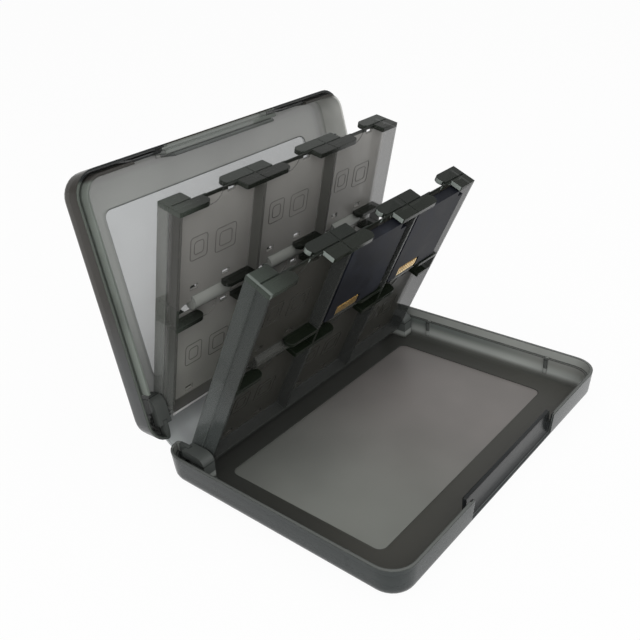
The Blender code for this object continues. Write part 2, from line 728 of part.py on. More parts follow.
def build():
    """Make every piece and hang it in the photographed pose."""
    clear_scene()
    smoke = make_material("smoke_shell", (0.085, 0.092, 0.092), 0.28, alpha=0.72)
    page_smoke = make_material("smoke_page", (0.075, 0.082, 0.080), 0.32, alpha=0.82)
    card_black = make_material("card_plastic", (0.020, 0.020, 0.022), 0.45)
    board_gold = make_material("contact_gold", (0.78, 0.58, 0.24), 0.25, metallic=1.0)

    spine_axis = empty("spine_axis", None, (0.0, HINGE_Y, FILM_HEIGHT), SPINE_OPEN)
    lid_axis = empty("lid_axis", spine_axis, (0.0, SPINE_SPAN, 0.0), LID_OPEN)
    rear_place = (0.0, PIN_INSET - SPINE_INSET, PIN_Z - FILM_HEIGHT)
    rear_axis = empty("rear_page_axis", lid_axis, rear_place, REAR_PAGE_OPEN)
    front_axis = empty("front_page_axis", None, (0.0, PIN_Y, PIN_Z), FRONT_PAGE_OPEN)

    place(make_shell("base_shell", False), None, smoke)
    place(make_spine("spine_panel"), spine_axis, smoke)
    lid_location = (0.0, HALF_DEPTH - SPINE_INSET, -FILM_HEIGHT)
    place(make_shell("lid_shell", True), lid_axis, smoke, lid_location, 180.0)
    rear_page = make_page("rear_page")
    place(rear_page, rear_axis, page_smoke)
    front_page = bpy.data.objects.new("front_page", rear_page.data.copy())
    bpy.context.scene.collection.objects.link(front_page)
    place(front_page, front_axis, page_smoke)
    for page_name, axis in (("rear_page", rear_axis), ("front_page", front_axis)):
        place(make_pin(f"{page_name}_pin_left", -1), axis, page_smoke)
        place(make_pin(f"{page_name}_pin_right", 1), axis, page_smoke)
    for number, column in enumerate(CARD_COLUMNS, start=1):
        spot = (bay_center(column), CARD_FOOT, HALF_WEB + CARD_WEB_GAP)
        place(make_card(f"game_card_{number}"), front_axis, card_black, spot)
        place(make_board(f"card_contacts_{number}"), front_axis, board_gold, spot)


build()
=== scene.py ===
"""Game card case in smoke-tinted clear plastic, shown open with both card pages raised."""

import json
import math
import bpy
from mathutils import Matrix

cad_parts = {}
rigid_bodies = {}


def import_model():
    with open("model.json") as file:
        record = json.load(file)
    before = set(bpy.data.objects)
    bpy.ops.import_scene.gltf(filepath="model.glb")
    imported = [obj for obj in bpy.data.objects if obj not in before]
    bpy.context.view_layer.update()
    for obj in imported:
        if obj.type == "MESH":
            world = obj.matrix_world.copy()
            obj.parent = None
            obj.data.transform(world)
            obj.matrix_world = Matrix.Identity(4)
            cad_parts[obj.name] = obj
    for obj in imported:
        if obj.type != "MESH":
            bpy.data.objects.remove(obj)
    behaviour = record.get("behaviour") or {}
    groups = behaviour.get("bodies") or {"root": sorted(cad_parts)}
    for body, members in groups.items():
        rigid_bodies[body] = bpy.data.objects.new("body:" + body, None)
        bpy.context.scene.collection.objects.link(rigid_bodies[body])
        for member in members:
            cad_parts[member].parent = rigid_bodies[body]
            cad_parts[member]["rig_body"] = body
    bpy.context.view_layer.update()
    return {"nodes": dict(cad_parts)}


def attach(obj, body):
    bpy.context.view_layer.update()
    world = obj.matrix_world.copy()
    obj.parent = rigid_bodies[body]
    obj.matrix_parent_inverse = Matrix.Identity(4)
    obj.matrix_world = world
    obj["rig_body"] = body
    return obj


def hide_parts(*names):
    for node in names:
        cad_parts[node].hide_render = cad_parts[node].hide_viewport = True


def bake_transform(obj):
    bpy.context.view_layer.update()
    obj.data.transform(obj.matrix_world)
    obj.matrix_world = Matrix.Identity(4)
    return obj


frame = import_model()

from types import SimpleNamespace

import bmesh
import bpy
import numpy as np
from mathutils import Matrix, Vector

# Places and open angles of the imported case, in metres and degrees
HALF_WIDTH = 0.071
HALF_DEPTH = 0.051
HINGE_Y = 0.046
FILM_Z = 0.0003
SPINE_SPAN = 0.0231
SPINE_OPEN = 32.5
LID_OPEN = 44.25
REAR_PAGE_OPEN = 25.7
FRONT_PAGE_OPEN = 114.9
PIN_Y = 0.042
PIN_Z = 0.0065
HALF_PAGE = 0.060
HALF_WEB = 0.0005
BAY_PITCH = 0.0396
ROW_FEET = (0.0482, 0.0026)
FILM_HALF_LENGTH = 0.0623

# Clear window in each shell's floor, in that shell's own closed position
WINDOW_LOW = (-0.0555, -0.0340)
WINDOW_HIGH = (0.0555, 0.0317)
WINDOW_CORNER = 0.0030

# Shell walls: outer outline, draft, ledge, round foot and thumb scoop
SHELL_HEIGHT = 0.0117
SHELL_CORNER = 0.0095
WALL_DRAFT = 0.0008
WALL_DEPTH = 0.0021
FOOT_ROUND = 0.0040
LEDGE_Z = 0.0082
SCOOP_HALF = 0.0300
SCOOP_BACK_Y = -0.0472

# Lip that rises inside the lid's rim, on both sides from before the lug to beside the latch
LIP_INSET = 0.0026
LIP_HALF_THICK = 0.0005
LIP_LOW = 0.0036
LIP_TOP = 0.0146
LIP_BACK_Y = 0.0300
LIP_FRONT_X = 0.0466
LIP_ROUND = 0.0002
LIP_ROUND_STEPS = 3
LIP_CORNER_STEPS = 12

# Heights on a page that hold its arms: upper caps, then foot arms and lower caps
ARM_BANDS = ((0.0842, 0.0862), (0.0386, 0.0482))
BARREL_V = 0.0440
BARREL_RADIUS = 0.0028
BARREL_HALF = 0.0088

# Raised outlines on a page: section, corners, and the nested squares of one bay's face, each with its
# left, right, low and high side from the bay's middle and foot
MARK_HALF_WIDTH = 0.00018
MARK_RISE = 0.00016
MARK_CORNER = 0.0012
MARK_SIDES = 8
MARK_CORNER_STEPS = 5
MARK_SQUARES = (
    (-0.0104, -0.0024, 0.0135, 0.0225),
    (-0.0086, -0.0042, 0.0155, 0.0205),
    (0.0016, 0.0116, 0.0122, 0.0217),
    (0.0036, 0.0096, 0.0141, 0.0198),
)

# Film hinges: reach to each side of the axis, thickness and steps along the bend
FILM_REACH = 0.0012
FILM_HALF_THICK = 0.0002
FILM_STEPS = 12

# Edges: radius that each finish rounds them to, and how dark they are: a painted shade that stands in for
# refraction's dark lines
SHELL_EDGE = 0.00050
PAGE_EDGE = 0.00040
CARD_EDGE = 0.00025
CONTACT_EDGE = 0.00010
LIP_EDGE = 0.00018
MARK_EDGE = 0.00006
EDGE_SAMPLES = 6
EDGE_AGREEMENT = (0.98, 0.78)
EDGE_SHADE = 0.85
EDGE_SHADE_COLOR = (0.016, 0.018, 0.016)

# Smooth shading of a CAD surface: sharp edges from this angle, merged corners, joined flat triangles
EDGE_ANGLE = 32.0
MERGE_GAP = 0.000002
FLAT_ANGLE = 0.4

# What the smoke plastics share: refractive index, flow clouds and grain
PLASTIC_IOR = 1.49
FLOW_MIDDLE = 0.5
FLOW_ZONE = (0.35, 0.7)
FLOW_COVER = 0.06
GRAIN_DETAIL = 3.0

# Where a shell's areas start and where they are full, in metres of its own closed position: heights
FLOOR_ZONE = (0.0013, 0.0009)
WALL_FOOT_ZONE = (0.0030, 0.0011)
INNER_LOW_ZONE = (0.0065, 0.0034)
RIB_HEIGHT_ZONE = (0.0040, 0.0044)
FRONT_SHADE_HEIGHT_ZONE = (0.0060, 0.0080)
RIM_ZONE = (LEDGE_Z - 0.0001, LEDGE_Z + 0.0001)
RIM_TOP_ZONE = (SHELL_HEIGHT - 0.0002, SHELL_HEIGHT - 0.0001)

# The same, as distances: from the window's edge, behind the outer skin and from the ledge
WINDOW_ZONE = (0.0001, -0.0001)
WINDOW_LINE_ZONE = (0.0003, 0.0001)
INNER_ZONE = (0.0004, 0.0007)
RIB_DEPTH_ZONE = (WALL_DEPTH + 0.0002, WALL_DEPTH + 0.0004)
FLOOR_EDGE_ZONE = (0.0075, 0.0045)
LEDGE_LINE_ZONE = (0.0004, 0.0001)

# The same, across the shell and from its front to its hinge
SCOOP_SIDE_ZONE = (SCOOP_HALF + 0.0002, SCOOP_HALF)
SCOOP_BACK_ZONE = (SCOOP_BACK_Y + 0.0003, SCOOP_BACK_Y)
LATCH_SIDE_ZONE = (SCOOP_HALF - 0.0022, SCOOP_HALF - 0.0020)
LATCH_FRONT_ZONE = (-0.0470, -0.0485)
RIM_FRONT_ZONE = (-0.0496, -0.0499)
LEFT_ZONE = (0.030, -0.050)
INNER_FRONT_ZONE = (0.010, -0.045)
FLOOR_FRONT_ZONE = (0.0, -0.045)
WALL_BACK_ZONE = (-0.010, 0.025)
HINGE_ZONE = (-0.010, 0.050)

# Strength of each effect on a shell; the lean is how fast the inner wall comes in below the foot's round
SHELL_FLOW_SCALE = 28.0
SHELL_GRAIN_SCALE = 2600.0
SHELL_GRAIN_HEIGHT = 0.000010
WALL_GRAIN_SHARE = 0.1
FOOT_LEAN_SHARE = 0.6
FLOOR_FRONT_SHARE = 0.8
FRONT_SHADE_SHARE = 0.9
OUTER_FLOW_SHARE = 0.05
INNER_FLOW_SHARE = 0.15
LEDGE_LINE_SHARE = 0.6
RIB_CLEARING_SHARE = 0.6
HINGE_SHADE_COLOR = (0.02, 0.022, 0.022)
SHELL_LINE_COVER = 0.3
SHELL_EDGE_COVER = 0.3
HINGE_COVER = 0.2
SLANT_BLEND = 0.5
SLANT_ZONE = (0.70, 0.97)
SLANT_COVER = 0.3
SHELL_ROUGHNESS = 0.22
FLOOR_ROUGHNESS = 0.16
SHELL_FLOW_ROUGHNESS = 0.06

# Where a page's areas start and where they are full, in metres: across its thickness and its width
WEB_ZONE = (0.0009, 0.0006)
BEHIND_ZONE = (0.0002, -0.0002)
SEAM_ZONE = (0.0003, 0.00008)
FOOT_HIGHLIGHT_THICKNESS_ZONE = (0.0002, 0.0010)
END_ZONE = (HALF_PAGE - 0.0003, HALF_PAGE - 0.0001)
OUTER_RIB_ZONE = (HALF_PAGE - 0.0018, HALF_PAGE - 0.0013)
FAR_END_ZONE = (0.054, 0.057)
ARM_LEFT_LIT_ZONE = (-0.046, -0.060)
GLINT_STRIP_ZONE = (-0.0584, -0.0590)
GLINT_TIP_ZONE = (0.0178, 0.0172)
BARREL_LENGTH_ZONE = (BARREL_HALF + 0.0003, BARREL_HALF)
BARREL_ROUND_ZONE = (BARREL_RADIUS + 0.0002, BARREL_RADIUS)

# The same, along its height, and how far a tip's face looks sideways to take its painted glint
ARM_FADE = 0.0001
WEB_LOW_ZONE = (0.046, 0.020)
END_LOW_ZONE = (0.055, 0.005)
FOOT_HIGHLIGHT_TOP_ZONE = (0.0024, 0.0022)
FOOT_HIGHLIGHT_LOW_ZONE = (0.0002, 0.0006)
GLINT_FACING_ZONE = (0.7, 0.95)

# Strength of each effect on a page
PAGE_FLOW_SCALE = 40.0
PAGE_GRAIN_SCALE = 2400.0
PAGE_GRAIN_HEIGHT = 0.000005
RIB_GRAIN_SHARE = 0.01
WEB_GRAIN_SHARE = 0.2
END_ARM_SHARE = 0.85
END_LOW_LIGHT_SHARE = 0.25
PAGE_FLOW_SHARE = 0.2
ARM_FLOW_SHARE = 0.15
SEAM_SHARE = 0.5
ARM_EDGE_LIGHT = 0.55
PAGE_EDGE_COVER = 0.2
FAR_END_CLEARING = 0.14
PAGE_ROUGHNESS = 0.18
WEB_ROUGHNESS = 0.16
PAGE_EDGE_ROUGHNESS = 0.4
PAGE_FLOW_ROUGHNESS = 0.08

# Small smoke pieces: flow clouds, grain, and where the lips take a painted shade towards the lid's front
PLAIN_FLOW_SCALE = 60.0
PLAIN_FLOW_ZONE = (0.3, 0.7)
PLAIN_FLOW_LIGHT = 1.35
PLAIN_FLOW_ROUGHNESS = 0.1
PLAIN_GRAIN_SCALE = 2500.0
PLAIN_GRAIN_HEIGHT = 0.000006
PLAIN_EDGE_COVER = 0.3
PLAIN_GLOSS = 0.25
LIP_FRONT_SHADE_ZONE = (-0.0465, -0.0480)
LIP_FRONT_SHADE_TONE = (0.040, 0.038, 0.034)

# Card plastic: spark-eroded cells and wear
CARD_CELL_SCALE = 3800.0
CARD_CELL_HEIGHT = 0.00001
CARD_WEAR_SCALE = 120.0
CARD_WEAR_DETAIL = 4.0
CARD_WEAR_ZONE = (0.4, 0.7)
CARD_TONE = (0.007, 0.008, 0.012)
CARD_WORN_TONE = (0.014, 0.016, 0.023)
CARD_ROUGHNESS = 0.45
CARD_WEAR_ROUGHNESS = 0.16
CARD_GLOSS = 0.15

# Contact gold: brush marks along the contacts, and duller patches
BRUSH_SCALE = (6000.0, 300.0, 300.0)
BRUSH_HEIGHT = 0.000006
TARNISH_SCALE = 300.0
TARNISH_ZONE = (0.4, 0.75)
GOLD_TONE = (0.86, 0.64, 0.30)
GOLD_DULL_TONE = (0.62, 0.43, 0.18)
GOLD_ROUGHNESS = 0.18
TARNISH_ROUGHNESS = 0.16

# Camera solved from the photograph, in degrees, metres and pixels
CAMERA_TURN = -47.12088
CAMERA_DROP = 24.98229
CAMERA_ROLL = -4.15049
CAMERA_AWAY = 0.29746
CAMERA_SIDE = -0.04051
CAMERA_LIFT = 0.02339
CAMERA_TARGET_Z = 0.040
FOCAL_PIXELS = 822.867
FRAME_PIXELS = 640
MIDDLE_PIXEL = (278.586, 274.387)
SENSOR = 36.0

# Studio: floor, even light, and three soft panels with their place, size in metres and power in watts
FLOOR_HALF = 6.0
FLOOR_DROP = 0.0002
FLOOR_SHADE = 0.80
FLOOR_ROUGH = 0.9
FLOOR_GLOW_SHARE = 0.95
WORLD_SHADE = 0.58
WHITE = (1.0, 1.0, 1.0)
PANELS = (
    ("panel_left", (-0.60, -0.35, 0.30), 0.80, 3.4),
    ("panel_front", (0.05, -0.75, 0.35), 1.00, 2.4),
    ("panel_top", (0.05, -0.05, 0.85), 1.20, 1.6),
)
AIM = (0.0, 0.0, 0.04)


class Wire:
    """One output of a node; arithmetic on it adds Math nodes."""

    def __init__(self, nodes, socket):
        self.nodes, self.socket = nodes, socket

    def __add__(self, other):
        return self.nodes.math("ADD", self, other)

    def __sub__(self, other):
        return self.nodes.math("SUBTRACT", self, other)

    def __mul__(self, other):
        return self.nodes.math("MULTIPLY", self, other)

    def __rsub__(self, other):
        return self.nodes.math("SUBTRACT", other, self)

    __radd__, __rmul__ = __add__, __mul__


class Nodes:
    """A node tree: node() adds any node, join() sets or links one socket."""

    def __init__(self, tree):
        self.tree = tree

    def join(self, socket, value):
        """Link a wire to a socket, or set the socket's value."""
        if isinstance(value, Wire):
            self.tree.links.new(value.socket, socket)
        elif isinstance(value, tuple) and len(value) == 3 and socket.type == "RGBA":
            socket.default_value = (*value, 1.0)
        else:
            socket.default_value = value

    def node(self, kind, settings=None, inputs=None, output=0):
        """Add a node, its settings first and then its sockets, and return one output."""
        made = self.tree.nodes.new(kind)
        for name, value in (settings or {}).items():
            setattr(made, name, value)
        for name, value in (inputs or {}).items():
            self.join(made.inputs[name], value)
        return Wire(self, made.outputs[output])

    def math(self, operation, *values):
        """Work out one number from one or two."""
        return self.node("ShaderNodeMath", {"operation": operation}, dict(enumerate(values)))

    def least(self, first, second):
        return self.math("MINIMUM", first, second)

    def most(self, first, second):
        return self.math("MAXIMUM", first, second)

    def size(self, value):
        return self.math("ABSOLUTE", value)

    def parts(self, vector):
        """The three numbers of a vector."""
        split = self.node("ShaderNodeSeparateXYZ", None, {0: vector}).socket.node
        return [Wire(self, socket) for socket in split.outputs]

    def ramp(self, value, low, high, start=0.0, end=1.0):
        """Rise smoothly from start to end as a value goes from low to high."""
        return self.node(
            "ShaderNodeMapRange",
            {"interpolation_type": "SMOOTHSTEP"},
            {"Value": value, "From Min": low, "From Max": high, "To Min": start, "To Max": end},
        )

    def blend(self, share, first, second):
        """Mix two colours by a share of the second."""
        return self.node("ShaderNodeMix", {"data_type": "RGBA"}, {0: share, 6: first, 7: second}, 2)

    def layers(self, color, *shares_and_tones):
        """Lay one tone after another over a colour, each by its own share."""
        for share, tone in shares_and_tones:
            color = self.blend(share, color, tone)
        return color

    def noise(self, coordinates, scale, detail=2.0):
        inputs = {"Vector": coordinates, "Scale": scale, "Detail": detail}
        return self.node("ShaderNodeTexNoise", None, inputs)

    def rays(self, *kinds):
        """1 for light paths of the named kinds, and 0 for all others."""
        path = self.node("ShaderNodeLightPath").socket.node
        seen = Wire(self, path.outputs[kinds[0]])
        for kind in kinds[1:]:
            seen = self.most(seen, Wire(self, path.outputs[kind]))
        return seen


class Finish(Nodes):
    """A material's nodes around its surface shader."""

    def __init__(self, name):
        self.material = bpy.data.materials.new(name)
        self.material.use_nodes = True
        super().__init__(self.material.node_tree)
        self.shader = self.tree.nodes["Principled BSDF"]

    def feed(self, name, value):
        """Set or link one socket of the surface shader."""
        self.join(self.shader.inputs[name], value)

    def place(self):
        """Where a surface point lies, in metres of the whole case."""
        return self.node("ShaderNodeTexCoord", output="Object")

    def rounded(self, radius):
        """The normal of edges rounded over by a radius."""
        return self.node("ShaderNodeBevel", {"samples": EDGE_SAMPLES}, {"Radius": radius})

    def rim(self, soft):
        """1 where the rounded edges' normal leaves the plain one, and 0 on flat faces."""
        plain = self.node("ShaderNodeNewGeometry", output="Normal")
        same = self.node("ShaderNodeVectorMath", {"operation": "DOT_PRODUCT"}, {0: soft, 1: plain}, "Value")
        return self.ramp(same, *EDGE_AGREEMENT)

    def relief(self, height, distance, normal):
        """Turn a height into the surface's normal, on top of the rounded edges' normal."""
        return self.node("ShaderNodeBump", None, {"Height": height, "Distance": distance, "Normal": normal})

    def plastic_gloss(self, gloss):
        """Set the refractive index of clear plastic, and how strongly it mirrors."""
        self.feed("IOR", PLASTIC_IOR)
        self.feed("Specular IOR Level", gloss)


class Plane:
    """A piece's own plane: x along the hinge, v away from its axis, w out of its front."""

    def __init__(self, y, z, turn):
        self.y, self.z, self.turn = y, z, math.radians(turn)

    def at(self, x, v, w):
        """Turn x, v, w into the case's frame; whole arrays at once."""
        c, s = math.cos(self.turn), math.sin(self.turn)
        x, v, w = np.broadcast_arrays(x, v, w)
        return np.stack([x, self.y + v * c - w * s, self.z + v * s + w * c], axis=-1)

    def spot(self, v, w):
        """The Y and Z of one point."""
        point = self.at(0.0, v, w)
        return float(point[1]), float(point[2])


base_plane = Plane(0.0, 0.0, 0.0)
spine_plane = Plane(HINGE_Y, FILM_Z, SPINE_OPEN)
lid_plane = Plane(*spine_plane.spot(SPINE_SPAN, 0.0), SPINE_OPEN + LID_OPEN)
rear_pin = lid_plane.spot(HINGE_Y - PIN_Y, PIN_Z - FILM_Z)
rear_plane = Plane(*rear_pin, SPINE_OPEN + LID_OPEN + REAR_PAGE_OPEN)
front_plane = Plane(PIN_Y, PIN_Z, FRONT_PAGE_OPEN)


def own_axes(finish, plane, mirrored=False):
    """Return a surface point in a plane's own x, v, w, by a Mapping node that undoes the plane's turn.

    Mirrored, they are x, HINGE_Y - v and FILM_Z + w: the lid's point as it lies in its closed position,
    with the same axes as the base.
    """
    c, s = math.cos(plane.turn), math.sin(plane.turn)
    if mirrored:
        scale, turn = (1.0, -1.0, 1.0), plane.turn
        shift = (0.0, HINGE_Y + c * plane.y + s * plane.z, FILM_Z + s * plane.y - c * plane.z)
    else:
        scale, turn = (1.0, 1.0, 1.0), -plane.turn
        shift = (0.0, -c * plane.y - s * plane.z, s * plane.y - c * plane.z)
    inputs = {"Vector": finish.place(), "Location": shift, "Rotation": (turn, 0.0, 0.0), "Scale": scale}
    return finish.node("ShaderNodeMapping", {"vector_type": "POINT"}, inputs)


def box_distance(finish, across, along, low, high, corner):
    """Distance from a rounded rectangle's edge, negative inside: two half sizes, then a corner circle."""
    middle = [(a + b) / 2 for a, b in zip(low, high)]
    half = [(b - a) / 2 - corner for a, b in zip(low, high)]
    out_x = finish.size(across - middle[0]) - half[0]
    out_y = finish.size(along - middle[1]) - half[1]
    clear_x, clear_y = finish.most(out_x, 0.0), finish.most(out_y, 0.0)
    outside = finish.math("SQRT", clear_x * clear_x + clear_y * clear_y)
    inside = finish.least(finish.most(out_x, out_y), 0.0)
    return outside + inside - corner


def shell_areas(finish, x, y, z):
    """How far a surface point belongs to each area of a shell, and its depth behind the outer wall."""
    edge = box_distance(finish, x, y, WINDOW_LOW, WINDOW_HIGH, WINDOW_CORNER)
    skin = box_distance(finish, x, y, (-HALF_WIDTH, -HALF_DEPTH), (HALF_WIDTH, HALF_DEPTH), SHELL_CORNER)
    depth = 0.0 - skin - finish.ramp(z, FOOT_ROUND, SHELL_HEIGHT, WALL_DRAFT, 0.0)
    floor = finish.ramp(z, *FLOOR_ZONE)
    inner = finish.ramp(depth - finish.most(FOOT_ROUND - z, 0.0) * FOOT_LEAN_SHARE, *INNER_ZONE)
    scoop = finish.ramp(finish.size(x), *SCOOP_SIDE_ZONE) * finish.ramp(y, *SCOOP_BACK_ZONE)
    return SimpleNamespace(
        depth=depth,
        floor=floor,
        inner=inner,
        window=finish.ramp(edge, *WINDOW_ZONE) * floor,
        line=finish.ramp(finish.size(edge), *WINDOW_LINE_ZONE) * floor,
        ledge_line=finish.ramp(finish.size(z - LEDGE_Z), *LEDGE_LINE_ZONE) * inner,
        rim=finish.ramp(z, *RIM_ZONE) * inner,
        rim_top=finish.ramp(z, *RIM_TOP_ZONE),
        rib=finish.ramp(depth, *RIB_DEPTH_ZONE) * finish.ramp(z, *RIB_HEIGHT_ZONE),
        scoop=scoop * inner * (1.0 - floor),
    )


def painted_front_shade(finish, x, y, z, area):
    """Painted shade on the upper front: how far a point lies on the upper front wall's inner face or rim
    top, or beside the latch there.
    """
    latch = finish.ramp(y, *LATCH_FRONT_ZONE) * finish.ramp(finish.size(x), *LATCH_SIDE_ZONE)
    ahead = finish.most(latch, finish.ramp(y, *RIM_FRONT_ZONE))
    upper = finish.ramp(z, *FRONT_SHADE_HEIGHT_ZONE) * finish.most(area.inner, area.rim_top)
    return ahead * upper * FRONT_SHADE_SHARE


def shell_tint(finish, x, y, z, area, tones):
    """Colour of a shell by area: outer and inner walls, rim, ribs, scoop, then the floor and its window,
    with painted light and shade.
    """
    outer_wall = finish.blend(finish.ramp(y, *WALL_BACK_ZONE), tones["wall"], tones["wall_back"])
    # Painted light: the inner wall turns lighter towards its foot and towards the front
    high_wall = finish.blend(finish.ramp(y, *INNER_FRONT_ZONE), tones["inner_high"], tones["inner_front_lit"])
    inner_wall = finish.blend(finish.ramp(z, *INNER_LOW_ZONE), high_wall, tones["inner_low_lit"])
    walls = finish.layers(
        outer_wall,
        (area.inner, inner_wall),
        (finish.ramp(z, *WALL_FOOT_ZONE), tones["floor_edge"]),
        (area.rim, tones["rim"]),
        (area.rim_top, tones["rim_top"]),
    )
    # Painted shade on the lid's upper front
    if "front" in tones:
        walls = finish.blend(painted_front_shade(finish, x, y, z, area), walls, tones["front"])
    # Painted light and shade: the base's floor darker to the left, a painted shadow; the lid's floor and
    # window lighter to the left, painted light; both floors lighter towards the front, painted light
    to_left = finish.ramp(x, *LEFT_ZONE)
    ground = finish.layers(
        tones["floor"],
        (to_left, tones["floor_left_shade_and_light"]),
        (finish.ramp(y, *FLOOR_FRONT_ZONE) * FLOOR_FRONT_SHARE, tones["floor_front_lit"]),
        (finish.ramp(area.depth, *FLOOR_EDGE_ZONE), tones["floor_edge"]),
    )
    return finish.layers(
        walls,
        (area.rib, tones["rib"]),
        # Painted shade in the thumb scoop
        (area.scoop, tones["scoop"]),
        (area.floor, ground),
        (area.window, finish.blend(to_left, tones["clear"], tones["clear_left"])),
    )


def smoke_shell(name, plane, mirrored, tones):
    """Smoke-tinted shell: clear window in a satin floor, dark outer wall, lighter inner wall and rim, and
    painted light and shade.
    """
    finish = Finish(name)
    point = own_axes(finish, plane, mirrored)
    x, y, z = finish.parts(point)
    area = shell_areas(finish, x, y, z)
    flow = finish.noise(point, SHELL_FLOW_SCALE)
    drift = flow - FLOW_MIDDLE
    soft = finish.rounded(SHELL_EDGE)
    rim = finish.rim(soft)
    flow_share = area.inner * INNER_FLOW_SHARE + OUTER_FLOW_SHARE
    # Dark lines at the window's edge and the ledge, and painted shade along the rounded edges
    line_shade = area.line * tones["line"] + area.ledge_line * LEDGE_LINE_SHARE + rim * EDGE_SHADE
    # Painted shade on the inner walls towards the hinge, weaker on the ribs
    near_hinge = finish.ramp(y, *HINGE_ZONE) * tones["hinge_shade"]
    near_hinge = near_hinge * (1.0 - area.rib * RIB_CLEARING_SHARE) * area.inner
    color = finish.layers(
        shell_tint(finish, x, y, z, area, tones),
        (finish.ramp(flow, *FLOW_ZONE) * flow_share, tones["flow"]),
        (finish.least(line_shade, 1.0), EDGE_SHADE_COLOR),
        (near_hinge, HINGE_SHADE_COLOR),
    )
    finish.feed("Base Color", color)
    cover = tones["wall_cover"] + area.inner * (tones["inner_cover"] - tones["wall_cover"])
    cover = cover + area.floor * (tones["floor_cover"] - cover)
    cover = cover + area.window * (tones["clear_cover"] - tones["floor_cover"])
    slant = finish.node("ShaderNodeLayerWeight", None, {"Blend": SLANT_BLEND}, "Facing")
    cover = cover + area.line * SHELL_LINE_COVER + near_hinge * HINGE_COVER + rim * SHELL_EDGE_COVER
    cover = cover + finish.ramp(slant, *SLANT_ZONE) * SLANT_COVER
    finish.feed("Alpha", finish.least(cover + drift * FLOW_COVER, 1.0))
    satin = SHELL_ROUGHNESS + area.floor * FLOOR_ROUGHNESS - area.window * tones["window_gloss"]
    finish.feed("Roughness", satin + drift * SHELL_FLOW_ROUGHNESS)
    grain = finish.noise(point, SHELL_GRAIN_SCALE, GRAIN_DETAIL)
    grain_share = area.floor * (1.0 - WALL_GRAIN_SHARE) + WALL_GRAIN_SHARE
    height = grain * grain_share * (1.0 - area.window)
    finish.feed("Normal", finish.relief(height, SHELL_GRAIN_HEIGHT, soft))
    finish.plastic_gloss(tones["gloss"])
    return finish.material


def page_areas(finish, x, v, w):
    """How far a surface point belongs to each area of a page: web, ends, arms, barrel, and the foot and tips
    with painted highlights.
    """
    web = finish.ramp(finish.size(w), *WEB_ZONE)
    end = finish.ramp(finish.size(x), *END_ZONE)
    across = finish.math("PINGPONG", x, BAY_PITCH / 2)
    upper, lower = [
        finish.ramp(v, low - ARM_FADE, low) * finish.ramp(v, high + ARM_FADE, high)
        for low, high in ARM_BANDS
    ]
    barrel_round = finish.ramp(finish.size(w), *BARREL_ROUND_ZONE)
    barrel_round = barrel_round * finish.ramp(finish.size(v - BARREL_V), *BARREL_ROUND_ZONE)
    barrel = finish.ramp(across, *BARREL_LENGTH_ZONE) * barrel_round
    arms = upper + lower * (1.0 - web) * (1.0 - barrel) * (1.0 - end * END_ARM_SHARE)
    # Where the painted highlight lies along the foot's front
    foot = finish.ramp(v, *FOOT_HIGHLIGHT_TOP_ZONE) * finish.ramp(v, *FOOT_HIGHLIGHT_LOW_ZONE)
    facing = finish.node("ShaderNodeNewGeometry", output="True Normal")
    sideways = finish.size(finish.parts(facing)[0])
    return SimpleNamespace(
        web=web,
        end=end,
        upper=upper,
        lower=lower,
        barrel=barrel,
        arms=arms,
        behind=finish.ramp(w, *BEHIND_ZONE),
        seam=finish.ramp(finish.size(w), *SEAM_ZONE) * end,
        outer_rib=finish.ramp(finish.size(x), *OUTER_RIB_ZONE) * (1.0 - arms),
        far_end=finish.ramp(x, *FAR_END_ZONE) * (1.0 - arms),
        foot=foot * finish.ramp(w, *FOOT_HIGHLIGHT_THICKNESS_ZONE) * (1.0 - end),
        # Where the tips' painted glint lies: faces that look sideways, away from the ribs
        tip=finish.ramp(sideways, *GLINT_FACING_ZONE) * finish.ramp(across, *GLINT_TIP_ZONE),
    )


def page_tint(finish, x, v, area, tones):
    """Colour of a page by area: ribs, webs and end walls, then its foot, arms, card barrel and arm tips,
    with painted light and highlights.
    """
    # Painted light: the web turns lighter towards its foot
    web_tone = finish.blend(finish.ramp(v, *WEB_LOW_ZONE), tones["web"], tones["web_low_lit"])
    # Painted light: the arms turn lighter towards the left end, where the light comes from
    left = finish.ramp(x, *ARM_LEFT_LIT_ZONE) * (area.upper + area.lower * tones["left_low_share"])
    arm_tone = finish.layers(tones["arm"], (area.behind, tones["arm_back"]), (left, tones["arm_left_lit"]))
    # Painted glint along the left end's top edge
    left_glint_strip = finish.ramp(x, *GLINT_STRIP_ZONE) * tones["glint_strip_share"]
    return finish.layers(
        tones["rib"],
        (area.web, web_tone),
        (area.end * area.behind, tones["end_back"]),
        (area.end * (1.0 - area.behind), tones["end_front"]),
        # painted light: the end walls lighter towards their foot
        (area.end * finish.ramp(v, *END_LOW_ZONE) * END_LOW_LIGHT_SHARE, tones["end_low_lit"]),
        # Painted highlight along the foot
        (area.foot, tones["foot"]),
        (area.arms, arm_tone),
        # Painted light on the card barrel's round
        (area.barrel, tones["barrel"]),
        # Painted glint on the arms' sideways faces and along the left end
        (area.upper * (1.0 - area.end) * finish.most(area.tip, left_glint_strip), tones["tip"]),
    )


